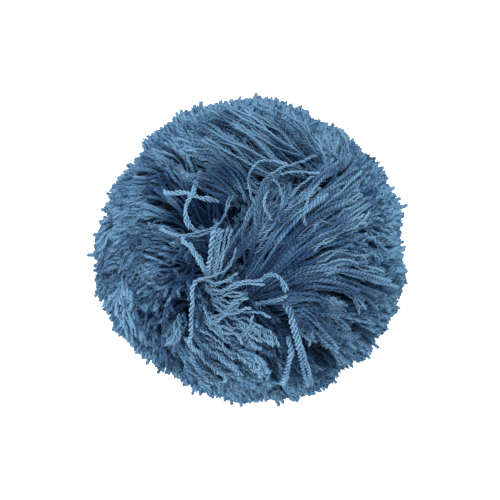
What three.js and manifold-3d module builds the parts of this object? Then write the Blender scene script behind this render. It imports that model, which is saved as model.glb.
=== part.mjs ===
// A yarn pompom, 100 mm wide, lying on a table: a small tied heart with cut locks of yarn
// standing out of it on all sides. From a crown on top the locks lean away, most to the
// upper right, where some are combed flat over it. In two hollows to the left of the crown
// the pile is open. Under the ball the locks are shorter and stand level on the table.
// Millimetres, +Z up. The origin is on the table, under the middle of the ball.
import * as THREE from "three";
import Module from "manifold-3d";
import { mergeVertices } from "three/addons/utils/BufferGeometryUtils.js";

// Driving sizes
const BALL_RADIUS = new THREE.Vector3(48.2, 47.8, 46.9); // half of the width, depth and height
const CENTRE_HEIGHT = 43.0; // the middle of the ball, above the table
const HEART_RADIUS = 9.5; // the tied middle, where all the roots are fused
const HEART_OFFSET = new THREE.Vector3(-4, -6, -1); // of the tied middle, from the ball's middle
const ROOT_RADIUS = 6.5; // where a lock starts, inside the heart
const LOCKS_PER_EDGE = 7; // the sphere is six patches of 7 by 7 locks
const PATCH_TURN = THREE.MathUtils.degToRad(24); // turn of the patches about Z
const CORNER_JITTER = 0.3; // how far a lock's corners stray, as a share of the pitch
const LENGTH_SPREAD = 0.04; // how much the cut length varies, as a share of the radius
const SLANT = 0.02; // how far one corner of a tip is cut past another, as a share of the radius
const BENT_LOCK = THREE.MathUtils.degToRad(10); // a lock that leans further has more steps
const FLOOR_CLEARANCE = 0.5; // of the locks that end just above the table
const FAN_POWER = 1.25; // how late along its length a lock leans over
const CROWN_REACH = 0.95; // how far the locks combed over the crown reach, as a share
const CROWN_ROOT = 0.04; // how far apart their roots stand, as a share of their tips' distance
const HALVING_STEPS = 30; // of the search for a lock's root
const MERGE_DISTANCE = 1e-4; // between corners that are one point
const YARN_COLOUR = 0x5f8fb8;
const RANDOM_SEED = 7;

// Where the pile parts. Each row: the plan position on the ball, how far the locks around it
// are pushed back, how fast that fades, and how much further they go to one side. Over the
// crown other locks are combed, and the hollows stay open.
const PARTINGS = [
  { name: "crown", x: -6, y: -6, open: 24, fade: 52, lean: 15, leanTo: 30, covered: true },
  { name: "left hollow", x: -19, y: 13, open: 10, fade: 19, lean: 2, leanTo: 60 },
  { name: "lower valley", x: -20, y: -31, open: 8, fade: 16, lean: 2, leanTo: -60 },
];

// The slow waves, one for each direction, that make the grid of locks uneven
const WANDER = [
  { from: "y", by: 9.1, andFrom: "z", andBy: 5.3, start: 1.7 },
  { from: "z", by: 8.3, andFrom: "x", andBy: 6.1, start: 0.4 },
  { from: "x", by: 10.2, andFrom: "y", andBy: 4.7, start: 2.9 },
];

// A lock's outline from root to tip: the share of its length, and the share of its pitch
// that it fills there. It is fullest below the tip, as a brush of cut yarn is.
const STRAIGHT_PROFILE = [
  { along: 0, fill: 0.7 },
  { along: 0.84, fill: 0.88 },
  { along: 1, fill: 0.62 },
];
const BENT_PROFILE = [
  { along: 0, fill: 0.74 },
  { along: 0.3, fill: 0.74 },
  { along: 0.58, fill: 0.8 },
  { along: 0.84, fill: 0.88 },
  { along: 1, fill: 0.62 },
];

// A seeded random number from 0 to 1, so that every build is the same
function randomSource(seed) {
  let state = seed;
  return () => {
    state = (state + 0x6d2b79f5) | 0;
    let t = Math.imul(state ^ (state >>> 15), 1 | state);
    t = (t + Math.imul(t ^ (t >>> 7), 61 | t)) ^ t;
    return ((t ^ (t >>> 14)) >>> 0) / 4294967296;
  };
}

// The direction from the ball's middle to the plan position x, y on its upper side
function directionAt(x, y) {
  const z = Math.sqrt(1 - (x / BALL_RADIUS.x) ** 2 - (y / BALL_RADIUS.y) ** 2);
  return new THREE.Vector3(x / BALL_RADIUS.x, y / BALL_RADIUS.y, z).normalize();
}

function makeParting(row) {
  const axis = directionAt(row.x, row.y);
  const right = new THREE.Vector3(1, 0, 0).addScaledVector(axis, -axis.x).normalize();
  return {
    axis,
    right,
    up: new THREE.Vector3().crossVectors(axis, right),
    open: THREE.MathUtils.degToRad(row.open),
    fade: THREE.MathUtils.degToRad(row.fade),
    lean: THREE.MathUtils.degToRad(row.lean),
    leanTo: THREE.MathUtils.degToRad(row.leanTo),
    covered: row.covered ?? false,
  };
}

const partings = PARTINGS.map(makeParting);

// How far the locks are pushed back on the side of a parting that faces the angle turn
function openingAt(parting, turn) {
  return parting.open + parting.lean * Math.cos(turn - parting.leanTo);
}

// The angle from a parting's axis to a direction, and the side that it lies on
function placeAround(parting, direction) {
  const turn = Math.atan2(direction.dot(parting.up), direction.dot(parting.right));
  return { angle: direction.angleTo(parting.axis), turn };
}

function isInsideOpening(parting, direction) {
  const { angle, turn } = placeAround(parting, direction);
  return angle < openingAt(parting, turn);
}

// Where a lock whose tip lies in this direction comes from before one parting pushes it back
function beforeParting(parting, direction) {
  const { angle, turn } = placeAround(parting, direction);
  const opening = openingAt(parting, turn);
  let low = 0;
  let high = angle;
  for (let step = 0; step < HALVING_STEPS; step += 1) {
    const middle = (low + high) / 2;
    if (middle + opening * Math.exp(-middle / parting.fade) < angle) low = middle;
    else high = middle;
  }
  return parting.axis
    .clone()
    .multiplyScalar(Math.cos(low))
    .addScaledVector(parting.right, Math.sin(low) * Math.cos(turn))
    .addScaledVector(parting.up, Math.sin(low) * Math.sin(turn));
}

// The direction of a lock's root on the heart, for the direction of its tip
function rootDirection(tip) {
  const root = partings.reduceRight(
    (direction, parting) => beforeParting(parting, direction),
    tip,
  );
  return isCombedOver(tip) ? root.lerp(tip, CROWN_ROOT).normalize() : root;
}

function isCombedOver(tip) {
  return partings.some((parting) => parting.covered && isInsideOpening(parting, tip));
}

function isBare(tip) {
  return partings.some((parting) => !parting.covered && isInsideOpening(parting, tip));
}

// The corner points of the locks on one patch of the sphere, as directions
function patchCorners(turnPatch) {
  const corners = [];
  for (let row = 0; row <= LOCKS_PER_EDGE; row += 1) {
    for (let column = 0; column <= LOCKS_PER_EDGE; column += 1) {
      const across = Math.tan((Math.PI / 4) * ((2 * column) / LOCKS_PER_EDGE - 1));
      const along = Math.tan((Math.PI / 4) * ((2 * row) / LOCKS_PER_EDGE - 1));
      corners.push(new THREE.Vector3(across, along, 1).normalize().applyMatrix4(turnPatch));
    }
  }
  return corners;
}

// A smooth wander of a direction, which makes the grid of locks uneven
function strayed(direction) {
  const pitch = Math.PI / 2 / LOCKS_PER_EDGE;
  const reach = CORNER_JITTER * pitch;
  const waves = WANDER.map((wave) =>
    Math.sin(wave.by * direction[wave.from] + wave.andBy * direction[wave.andFrom] + wave.start),
  );
  const wander = new THREE.Vector3(...waves);
  return direction.clone().addScaledVector(wander, reach).normalize();
}

// The six turns that carry the upper patch to each side of the sphere
function patchTurns() {
  const quarter = Math.PI / 2;
  const turns = [[0, 0], [2 * quarter, 0]];
  for (let side = 0; side < 4; side += 1) turns.push([quarter, side * quarter]);
  return turns.map(([tilt, side]) =>
    new THREE.Matrix4()
      .makeRotationZ(PATCH_TURN + side)
      .multiply(new THREE.Matrix4().makeRotationX(tilt)),
  );
}

// The locks as sets of four corner directions at their tips
function lockCells() {
  const cells = [];
  for (const turnPatch of patchTurns()) {
    const corners = patchCorners(turnPatch).map(strayed);
    const perRow = LOCKS_PER_EDGE + 1;
    for (let row = 0; row < LOCKS_PER_EDGE; row += 1) {
      for (let column = 0; column < LOCKS_PER_EDGE; column += 1) {
        const first = row * perRow + column;
        cells.push([first, first + 1, first + perRow + 1, first + perRow].map((i) => corners[i]));
      }
    }
  }
  return cells;
}

function middleOf(points) {
  const sum = points.reduce((total, point) => total.clone().add(point), new THREE.Vector3());
  return sum.divideScalar(points.length);
}

// How far the ball reaches from its middle in a direction
function ballReach(direction) {
  return 1 / direction.clone().divide(BALL_RADIUS).length();
}

// How far it is from the ball's middle down to a height above the table
function reachToHeight(direction, height) {
  return direction.z < 0 ? (CENTRE_HEIGHT - height) / -direction.z : Infinity;
}

// The four corner points of a lock at each step of its profile. Slants has a share of the
// reach for each corner.
function lockRings(cell, lengthShare, slants) {
  const middle = middleOf(cell).normalize();
  const reach = ballReach(middle) * lengthShare;
  const standsOnTable = reach > reachToHeight(middle, 0);
  const bends = rootDirection(middle).angleTo(middle) > BENT_LOCK;
  const profile = bends ? BENT_PROFILE : STRAIGHT_PROFILE;
  const clearReach = Math.min(...cell.map((tip) => reachToHeight(tip, FLOOR_CLEARANCE)));
  return profile.map(({ along, fill }) => {
    const lean = along ** FAN_POWER;
    return cell.map((corner, index) => {
      const tip = middle.clone().lerp(corner, fill).normalize();
      const direction = rootDirection(tip).lerp(tip, lean).normalize();
      const cut = Math.min(reach * slants[index], clearReach);
      const full = standsOnTable ? reachToHeight(tip, 0) : cut;
      const point = direction.multiplyScalar(ROOT_RADIUS + (full - ROOT_RADIUS) * along);
      point.addScaledVector(HEART_OFFSET, 1 - along);
      point.z += CENTRE_HEIGHT;
      if (standsOnTable && along === 1) point.z = 0;
      return point;
    });
  });
}

// A closed four-sided tube through the rings of corner points
function tubeThrough(rings) {
  const points = rings.flat().flatMap((point) => point.toArray());
  const faces = [0, 2, 1, 0, 3, 2];
  const sides = rings[0].length;
  for (let ring = 0; ring < rings.length - 1; ring += 1) {
    for (let side = 0; side < sides; side += 1) {
      const here = ring * sides + side;
      const next = ring * sides + ((side + 1) % sides);
      faces.push(here, next, next + sides, here, next + sides, here + sides);
    }
  }
  const last = (rings.length - 1) * sides;
  faces.push(last, last + 1, last + 2, last, last + 2, last + 3);
  const geometry = new THREE.BufferGeometry();
  geometry.setAttribute("position", new THREE.Float32BufferAttribute(points, 3));
  geometry.setIndex(faces);
  return geometry;
}

const wasm = await Module();
wasm.setup();

function solidFrom(geometry) {
  const bare = geometry.clone();
  bare.deleteAttribute("normal");
  bare.deleteAttribute("uv");
  const merged = mergeVertices(bare, MERGE_DISTANCE);
  return new wasm.Manifold(
    new wasm.Mesh({
      numProp: 3,
      vertProperties: merged.attributes.position.array,
      triVerts: new Uint32Array(merged.index.array),
    }),
  );
}

function geometryFrom(solid) {
  const { vertProperties, triVerts } = solid.getMesh();
  const geometry = new THREE.BufferGeometry();
  geometry.setAttribute("position", new THREE.BufferAttribute(vertProperties, 3));
  geometry.setIndex(new THREE.BufferAttribute(triVerts, 1));
  geometry.computeVertexNormals();
  return geometry;
}

function makeHeart() {
  const heart = new THREE.IcosahedronGeometry(HEART_RADIUS, 0);
  heart.translate(HEART_OFFSET.x, HEART_OFFSET.y, HEART_OFFSET.z + CENTRE_HEIGHT);
  return solidFrom(heart);
}

function makePompomSolid() {
  const random = randomSource(RANDOM_SEED);
  const varied = (spread) => 1 + spread * (2 * random() - 1);
  let solid = makeHeart();
  for (const cell of lockCells()) {
    const middle = middleOf(cell).normalize();
    const lengthShare = varied(LENGTH_SPREAD) * (isCombedOver(middle) ? CROWN_REACH : 1);
    const slants = cell.map(() => varied(SLANT));
    if (isBare(middle)) continue;
    solid = solid.add(solidFrom(tubeThrough(lockRings(cell, lengthShare, slants))));
  }
  return solid;
}

// The pompom's geometry, with the middle of its outline over the origin
function centredGeometry(solid) {
  const geometry = geometryFrom(solid);
  geometry.computeBoundingBox();
  const middle = geometry.boundingBox.getCenter(new THREE.Vector3());
  return geometry.translate(-middle.x, -middle.y, -geometry.boundingBox.min.z);
}

const yarn = new THREE.MeshStandardMaterial({ color: YARN_COLOUR, roughness: 0.9, metalness: 0 });
const pompom = new THREE.Mesh(centredGeometry(makePompomSolid()), yarn);
pompom.name = "pompom";

const part = new THREE.Group();
part.add(pompom);
export default part;
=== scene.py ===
"""A blue yarn pompom: thousands of cut two-ply strands that fan out of a small tied heart.

The pile is combed away from a crown on top and from two hollows beside it. Lengths are in
metres, +Z is up, and the pompom lies on a pale table at height zero.
"""

import math
from collections import namedtuple

import bpy
import numpy as np
from bpy.props import FloatProperty, FloatVectorProperty, IntProperty, PointerProperty
from bpy.types import Operator, Panel, PropertyGroup
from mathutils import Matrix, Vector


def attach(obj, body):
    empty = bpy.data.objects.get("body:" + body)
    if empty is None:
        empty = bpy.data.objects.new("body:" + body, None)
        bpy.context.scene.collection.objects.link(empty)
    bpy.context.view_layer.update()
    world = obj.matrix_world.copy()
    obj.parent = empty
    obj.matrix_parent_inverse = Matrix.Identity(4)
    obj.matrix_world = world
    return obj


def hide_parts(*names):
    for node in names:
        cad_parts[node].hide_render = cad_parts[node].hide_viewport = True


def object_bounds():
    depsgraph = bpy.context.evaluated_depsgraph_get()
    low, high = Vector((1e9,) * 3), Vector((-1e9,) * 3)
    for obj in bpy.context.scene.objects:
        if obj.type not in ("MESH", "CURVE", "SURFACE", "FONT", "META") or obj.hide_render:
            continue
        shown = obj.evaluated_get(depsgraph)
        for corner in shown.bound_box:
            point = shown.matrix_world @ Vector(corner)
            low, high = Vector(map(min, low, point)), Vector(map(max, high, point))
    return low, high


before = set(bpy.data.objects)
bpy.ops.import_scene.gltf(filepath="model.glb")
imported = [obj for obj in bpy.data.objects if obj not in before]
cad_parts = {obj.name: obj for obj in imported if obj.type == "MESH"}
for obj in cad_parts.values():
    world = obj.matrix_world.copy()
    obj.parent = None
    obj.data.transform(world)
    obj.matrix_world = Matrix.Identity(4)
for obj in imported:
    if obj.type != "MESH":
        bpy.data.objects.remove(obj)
CAD_LOW, CAD_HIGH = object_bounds()

bl_info = {
    "name": "Yarn Pompom",
    "version": (1, 0, 0),
    "blender": (4, 5, 0),
    "location": "View3D > Sidebar > Pompom",
    "description": "Makes a pompom of cut two-ply yarn, with a parted crown and loose strands",
    "category": "Add Mesh",
}

MM = 0.001
BODY = "root"
NODE = "pompom"
SENSOR_WIDTH = 36.0  # of the camera, in millimetres
GOLDEN_TURN = math.pi * (3 - math.sqrt(5))
FULL_TURN = 2 * math.pi
TINY = 1e-6
SKEW = np.array([0.36, 0.48, 0.8])  # a direction along which no strand runs exactly

# How the pile lies
CROWN_SHARE = 0.55  # of the strands under the crown's locks, which stay
UNDERSIDE = -0.5  # the height, from -1 to 1, below which the pile is sparser
UNDERSIDE_SHARE = 0.55  # of the strands there, which stay
TABLE_GAP = 0.6 * MM
SWEEP_START = 0.4  # the share of a strand's length from which it bends over
SWEEP_LENGTH = 19 * MM  # how far a bend of one moves the tip
SWEEP_FADE = 10 * MM  # over which height sweeps fade below the ball's middle
LOBE_HEIGHT = 0.5  # how far up and down the ball the outline's lobes reach
GATHER_POWER = 1.5  # how near to their tips strands draw together
WOBBLE_WAVES = (1.3, 2.9, 4.6)  # along a strand's length
TIP_STRAY, TUFT_STRAY, BUNCH_STRAY, ROOT_STRAY = 0.012, 0.05, 0.02, 0.06
PILE_WOBBLE = 1.1 * MM
RING_POWER = 0.85  # which makes a strand's rings lie closer towards its tip
CROWN_REACH = math.radians(55)  # how far from the crown the pile is shorter
COMBED_FROM = math.radians(9)  # strands that lean over by more are long ones

# How much tufts, the bunches in them and single strands differ
WAY_SPREAD = (0.05, 0.03, 0.018)
REACH_SPREAD = (0.015, 0.010, 0.009)
TONE_SPREAD = (0.25, 0.11, 0.08)
LEAN_SPREAD = (0.45, 0.25)
REACH = 0.992  # of the strands' tips, as a share of the ball's half sizes
LONGEST_REACH = 1.015
TONE = 0.44
PAINTED_RIM_LIGHT = 0.2  # painted light: how much lighter the strands near the outline are painted
RIM_HEIGHT, RIM_REACH = 0.1, 0.35
TUFT_PULL = (0.1, 0.5)  # how much strands are drawn to the middle of their tuft
BUNCH_PULL = (0.2, 0.8)

# The yarn
FRAY_REACH = np.array([0.5, 1.1, 0.3, 0.8, 1.4, 0.6, 0.9])  # of splayed ends, in half thicknesses
FRAY_SPLAY = 0.9  # how far they splay, in half thicknesses
SWELL = 0.45  # how much thicker a frayed end is
SWELL_FROM = 0.84  # the share of a strand's length from which it swells
THINNEST, THICKEST = 0.85, 1.15
KINK = 0.09 * MM
PLY_PITCH_LOOSE = 2.7 * MM
PLY_STEP = 0.42 * MM  # between the rings of a twisted ply
PLY_AWAY = 0.31  # of a ply from the strand's middle, in strand thicknesses
PLY_THICK = 0.53
STRAND_SIDES = 3  # of a strand's section, or a ply's
LOOSE_WOBBLE = 0.25 * MM
# The loose strands on top have a lighter tone, as painted light
LOOSE_TONE, LOOSE_TONE_SPREAD = 0.8, 0.1

# The packed middle
LUMP_RATES = (4, 6, 9, 13, 19)  # of the waves on it, from the broadest to the finest
LUMP_SIZE = 0.25
CORE_SHIFT = 0.6  # how far it lies from the ball's middle towards the heart, as a share

# How the locks over the crown lie
LOCK_RINGS = 26
LOCK_BUNCH = 4.0  # strands to a bunch
LOCK_THICK = 0.92
LOCK_TONE, LOCK_TONE_SPREAD = 0.47, (0.24, 0.16)
LOCK_WOBBLE = 0.3 * MM
BUNCH_START, START_POWER = 0.3, 1.5  # a bunch starts by 0.3 ** 1.5 of the lock's length
BUNCH_END = (0.55, 0.98)  # and ends between these
STRAND_END = (-0.07, 0.04)  # how much earlier or later than its bunch a strand ends
BUNCH_LIFT, BUNCH_DRIFT = 0.45, 0.85  # in widths of the lock
STRAND_STRAY, STRAY_MOST = 0.12, 1.2
FEW_SPREAD = 0.25  # the same for a few strands that lie by themselves
DRIFT_POWER = 1.7
BUNCH_SWAY = (1.1, 0.8 * MM)  # waves along the lock, and their size
FEW_SWAY = (3.4, 0.22 * MM)
STRAND_SWAY = (2.4, 0.32 * MM)
BUNCH_RADIUS = 0.95 * MM
BUNCH_TWIST = 3.0  # radians over the length of a lock
LIFT_SHARE = 0.65  # of the heights over the surface that the rows below give

# How light the yarn is painted: painted shade deep in the pile and in the creases between plies,
# painted highlights on their crests, and painted shade and light on the upper side
DEPTH_POWER = 1.4
LIGHT_FROM = 0.3  # how near to the surface it starts to be light
SURFACE = 0.97  # where the surface is, as a share of the ball's half sizes
LIGHTEST = 1.12
LOOSE_PAINTED_SHADING = 0.25  # how much of the painted shades and light the loose strands take
SPARED_FROM = 0.6  # how light a strand is painted before the dark painted shades start to spare it
SPARED_LEAST = 0.3  # how much of a dark painted shade the lightest strands still take
DARK_SHARE = 0.5  # painted shade: how light the grooves are painted where little light comes
TONE_IN_SHADE = 0.5  # how much the strands differ where little light comes
PAINTED_CREASE_SHADE = 0.35  # painted shade: how light the crease between two plies is painted
PAINTED_CREST_LIGHT = 1.45  # and their crests, painted as a highlight

# The stage, in metres
TABLE_GLOW = 0.8  # as of a light table, which keeps the ball's shadow faint
TABLE_SIZE = 6
KEY_PLACE, KEY_SIZE = (0.12, 0.42, 0.85), 0.5
FILL_PLACE, FILL_SIZE = (-0.55, -0.45, 0.5), 0.8
SKY_COLOUR = (0.93, 0.96, 1, 1)
NEAREST_SEEN, FARTHEST_SEEN = 0.01, 10

# How much fuzz grows on the strands: the points kept of each, and how often a strand of the
# locks and a loose one count
FUZZ_STEPS, LOCK_FUZZ, LOOSE_FUZZ = 6, 8, 3
FIBRE_LEAN = (0.4, 2.2)  # how far a fibre runs along its strand, for one away from it
FIBRE_TONE = (0.7, 1.3)
FUZZY_FROM = 0.6  # the share of the middle's height above which strands grow all their fuzz
laid_paths = []  # the strands made so far, on which the fuzz grows

PartingRow = namedtuple("PartingRow", "name x y open fade lean lean_to covered", defaults=[False])

# Where the pile parts: the plan position in millimetres, how far in degrees the strands around
# it are pushed back, how fast that fades, and how much further they go to one side.
PARTINGS = [PartingRow(*row) for row in (
    ("crown", -6, -6, 24, 52, 15, 30, True),
    ("left hollow", -17, 13, 15, 17, 3, 60),
    ("lower valley", -20, -31, 8, 16, 2, -60),
)]


SweepRow = namedtuple("SweepRow", "name x y reach way bend")

# Where the tips have been swept over to one side: the plan position and how far the sweep
# reaches, in millimetres, which way they point in degrees from +X, and how strongly.
SWEEPS = [SweepRow(*row) for row in (
    ("left limb", -42, 14, 15, 268, 1.5),
    ("left middle", -31, 2, 10, 200, 0.5),
    ("left low", -43, -8, 10, 235, 0.8),
    ("lower left", -34, -28, 14, 286, 1.0),
    ("bottom left", -18, -42, 14, 304, 1.1),
    ("bottom", 8, -42, 9, 288, 0.5),
    ("lower right", 25, -30, 15, 306, 0.6),
    ("right", 42, -8, 14, 325, 0.9),
    ("upper right", 30, 35, 12, 85, 0.5),
    ("top", 8, 42, 14, 110, 0.8),
    ("top left", -12, 35, 11, 142, 0.8),
    ("upper left", -30, 33, 9, 250, 0.7),
)]

PitRow = namedtuple("PitRow", "name x y long wide way depth")

# Dark places where no strand lies near the surface: the plan position, half the length and
# width and the way of the long side, and how high strands may reach there, from 0 to 1.
PITS = [PitRow(*row) for row in (
    ("left hollow", -13.5, 12.5, 7, 5, 20, 0.5),
    ("hollow's end", -5, 17, 5, 2, 60, 0.5),
    ("crown foot", -13, -3, 4, 3, 80, 0.45),
    ("valley", -19.5, -22, 9, 2.2, 94, 0.6),
    ("valley's end", -23, -36, 6, 2, 70, 0.7),
    ("under the band", 28, -12, 8, 2.6, -14, 0.7),
    ("band's foot", 6, -8, 10, 5, 35, 0.45),
    ("under the spray", -5, -16, 9, 6, -15, 0.6),
    ("right slot", 34, -25, 6, 2.4, -38, 0.65),
    ("lower slot", 20, -30, 8, 3.6, -58, 0.6),
    ("bottom slot", 7, -38, 6, 1.8, -80, 0.7),
    ("top slot", 20, 39, 4, 1.5, 60, 0.7),
)]

PaintedShadeRow = namedtuple("PaintedShadeRow", "name x y reach change")

# Painted light and shade: where the yarn is painted lighter or darker, as the light falls on the
# tufts and as they shade each other: the plan position and the reach in millimetres, and by what
# share the yarn is painted lighter there.
PAINTED_SHADES = [PaintedShadeRow(*row) for row in (
    ("band's foot", 7, -6, 10, -2.3),
    ("band's parting", 8, -3, 3.2, -0.9),
    ("band's parting, middle", 13.5, -2.5, 3, -0.9),
    ("band's parting, far", 19, -1.5, 3, -0.9),
    ("crown", -6, 2, 9, -1.6),
    ("band", 19, 4, 10, -2.1),
    ("under the band", 19, -14, 10, -1.7),
    ("hollow's foot", -21, -9, 8, -1.4),
    ("left hollow", -12, 11, 7, -0.5),
    ("beside the hollow", -26, 11, 7, 4.2),
    ("left foot", -37, -11, 8, -1.0),
    ("upper left notch", -36, 28, 8, -1.0),
    ("right limb low", 45, 2, 9, 1.3),
    ("left of the hollow", -29, 20, 7, -1.6),
    ("over the hollow", -10, 19, 8, -2.1),
    ("right of the foot", 32, -3, 9, -1.5),
    ("right limb", 44, 20, 14, 1.1),
    ("left limb", -45, -10, 12, 0.3),
    ("left middle", -41, 12, 10, -0.1),
    ("left low", -40, -24, 11, 1.5),
    ("top limb", 12, 45, 15, 1.2),
    ("top left limb", -7, 45, 11, 2.2),
    ("top", 4, 35, 7, -0.3),
    ("upper left limb", -22, 38, 11, -0.5),
    ("spray's foot", -6, -26, 9, -2.2),
    ("low tufts", 1, -37, 7, 2.8),
    ("bottom", 5, -42, 9, 0.9),
    ("whorl's side", -4, 12, 5, 1.6),
    ("under the loops", 9, 15, 6, 0.5),
    ("inside the arcs", -4, 30, 5, 0.6),
    ("upper right flow", 31, 29, 7, -0.7),
    ("band's upper edge", 20, 20, 6, -1.3),
    ("upper left flow", -21, 27, 5, 1.1),
    ("bottom left", -24, -36, 8, -1.1),
    ("under the locks", 18, -26, 9, -1.7),
)]

LobeRow = namedtuple("LobeRow", "name way reach size")

# Lobes and notches of the outline: which way they lie and how far they reach round the ball,
# in degrees, and by what share of the half width they stand out.
LOBES = [LobeRow(*row) for row in (
    ("right flat", 2, 6, -0.03),
    ("upper right flat", 64, 13, -0.035),
    ("top left rise", 119, 8, 0.025),
    ("upper left notch", 142, 6, -0.07),
    ("left flat", 162, 7, -0.03),
    ("left lobe", 190, 14, 0.01),
    ("lower left notch", 234, 10, -0.03),
    ("bottom flat", 256, 8, -0.02),
    ("bottom lobe", 297, 7, 0.04),
    ("lower right flat", 309, 4, -0.015),
    ("lower right tuft", 321, 6, 0.03),
    ("right lobe", 348, 9, 0.02),
)]

LockRow = namedtuple("LockRow", "name strands width spread points thick", defaults=[1.0])

# Locks that lie on the crown, one above another. Each row: the number of strands, how wide the
# lock is at its start and at its tips, and the points that it passes. Widths and points are in
# millimetres, and a point is x, y as seen from above, and the height over the ball's surface.
LOCKS = [LockRow(*row) for row in (
    ("band edge", 28, 1.6, 3.4, (
        (-6, -14, -14), (1, -6, -7), (9, 6, 0.5), (19, 16.5, 1.5), (32, 27.5, -1),
    ), 1.15),
    ("band high", 31, 2.0, 4.4, (
        (-5, -15, -12), (3, -7, -8), (13, 5, 0), (26, 15, 0.8), (41, 24, -2),
    ), 1.15),
    ("band middle", 34, 2.0, 4.8, (
        (-3, -15, -12), (5, -9, -8), (16, 0, 0), (30, 8, 0.8), (46, 15, -2.5),
    ), 1.15),
    ("band low", 30, 2.0, 4.2, (
        (0, -15.5, -12), (8, -10.5, -8), (19, -4.5, 0), (31, -2, 0.6), (45, -4, -2.5),
    ), 1.15),
    ("band side", 25, 1.6, 3.6, (
        (1, -16, -12), (8, -12.5, -7), (18, -9, 0), (30, -9.5, 0.5), (41, -15, -1),
    ), 1.15),
    ("band end", 20, 2.0, 3.2, (
        (3, -17, -12), (11, -15.5, -0.5), (21, -15.5, 0.8), (31, -19, 0), (39, -24, -1),
    )),
    ("band inner", 16, 1.4, 2.2, (
        (-13, -12, -9), (-9, -6, -3), (-3, 2, 0), (4, 9, 2), (11, 16, 2.5),
    ), 1.05),
    ("whorl", 16, 1.6, 2.2, (
        (0, -8, -10), (2, 2, -1), (3, 10, 2), (5.5, 17, 3.5), (11, 22.5, 3.5),
    )),
    ("sweep upper", 26, 2.0, 2.6, (
        (-1, 14, -6), (-5, 22, 1.5), (-12, 28, 2), (-19, 29.5, 1.5), (-24.5, 28.5, 1),
    )),
    ("sweep lower", 20, 1.8, 2.2, (
        (-2, 14, -7), (-7, 19.5, 0), (-14, 24.5, 1.5), (-20, 26, 1.5), (-24, 24.5, 0.5),
    )),
    ("sweep top", 22, 2.0, 2.8, ((0, 17, -6), (-4, 26, 1), (-10, 32, 1), (-17, 35, 0.5))),
    ("top flow low", 26, 2.0, 2.6, (
        (7, 17, -7), (0, 22, 0), (-8, 28, 1.5), (-17, 32.5, 1), (-26, 34, 0),
    )),
    ("top flow left", 34, 2.6, 4.0, (
        (13, 20, -6), (5, 26, 0), (-5, 33, 1), (-14, 38.5, 0.5), (-20, 40.5, -1),
    )),
    ("top flow middle", 36, 3.0, 4.5, (
        (19, 22, -6), (11, 29, -1), (3, 35, 0.5), (-4, 40, 0.5), (-10, 44, -1),
    )),
    ("top flow right", 32, 3.0, 4.5, ((25, 25, -6), (18, 32, -1), (10, 39, 0), (3, 44, -1))),
    ("top far", 26, 2.5, 4.0, ((25, 21, -6), (24, 30, 0), (22.5, 37, 0), (20, 42, -1))),
    ("lower mass", 16, 3.0, 4.0, (
        (-17, -26, -6), (-12, -31, 0), (-4, -37, 0.5), (1, -42, 0),
    ), 1.3),
    ("lower left", 14, 3.0, 3.5, (
        (-19, -28, -6), (-17, -34, 0), (-12, -40, 0), (-8, -44, -1),
    ), 1.3),
    ("lower middle", 14, 3.0, 3.5, (
        (-12, -22, -6), (-7, -26, 1), (0, -31, 1.5), (5, -36, 1),
    ), 1.3),
    ("soft brush", 40, 2.0, 4.0, ((12, -14, -7), (17, -19, 1), (23, -24.5, 2), (29, -29, 1))),
    ("right brush", 24, 2.0, 3.2, ((16, -12, -6), (23, -17, 1), (30, -21, 1), (35, -25, 0))),
    ("valley", 12, 1.6, 2.5, ((-22, -20, -4), (-24, -28, 0), (-25, -36, -1))),
)]

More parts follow.
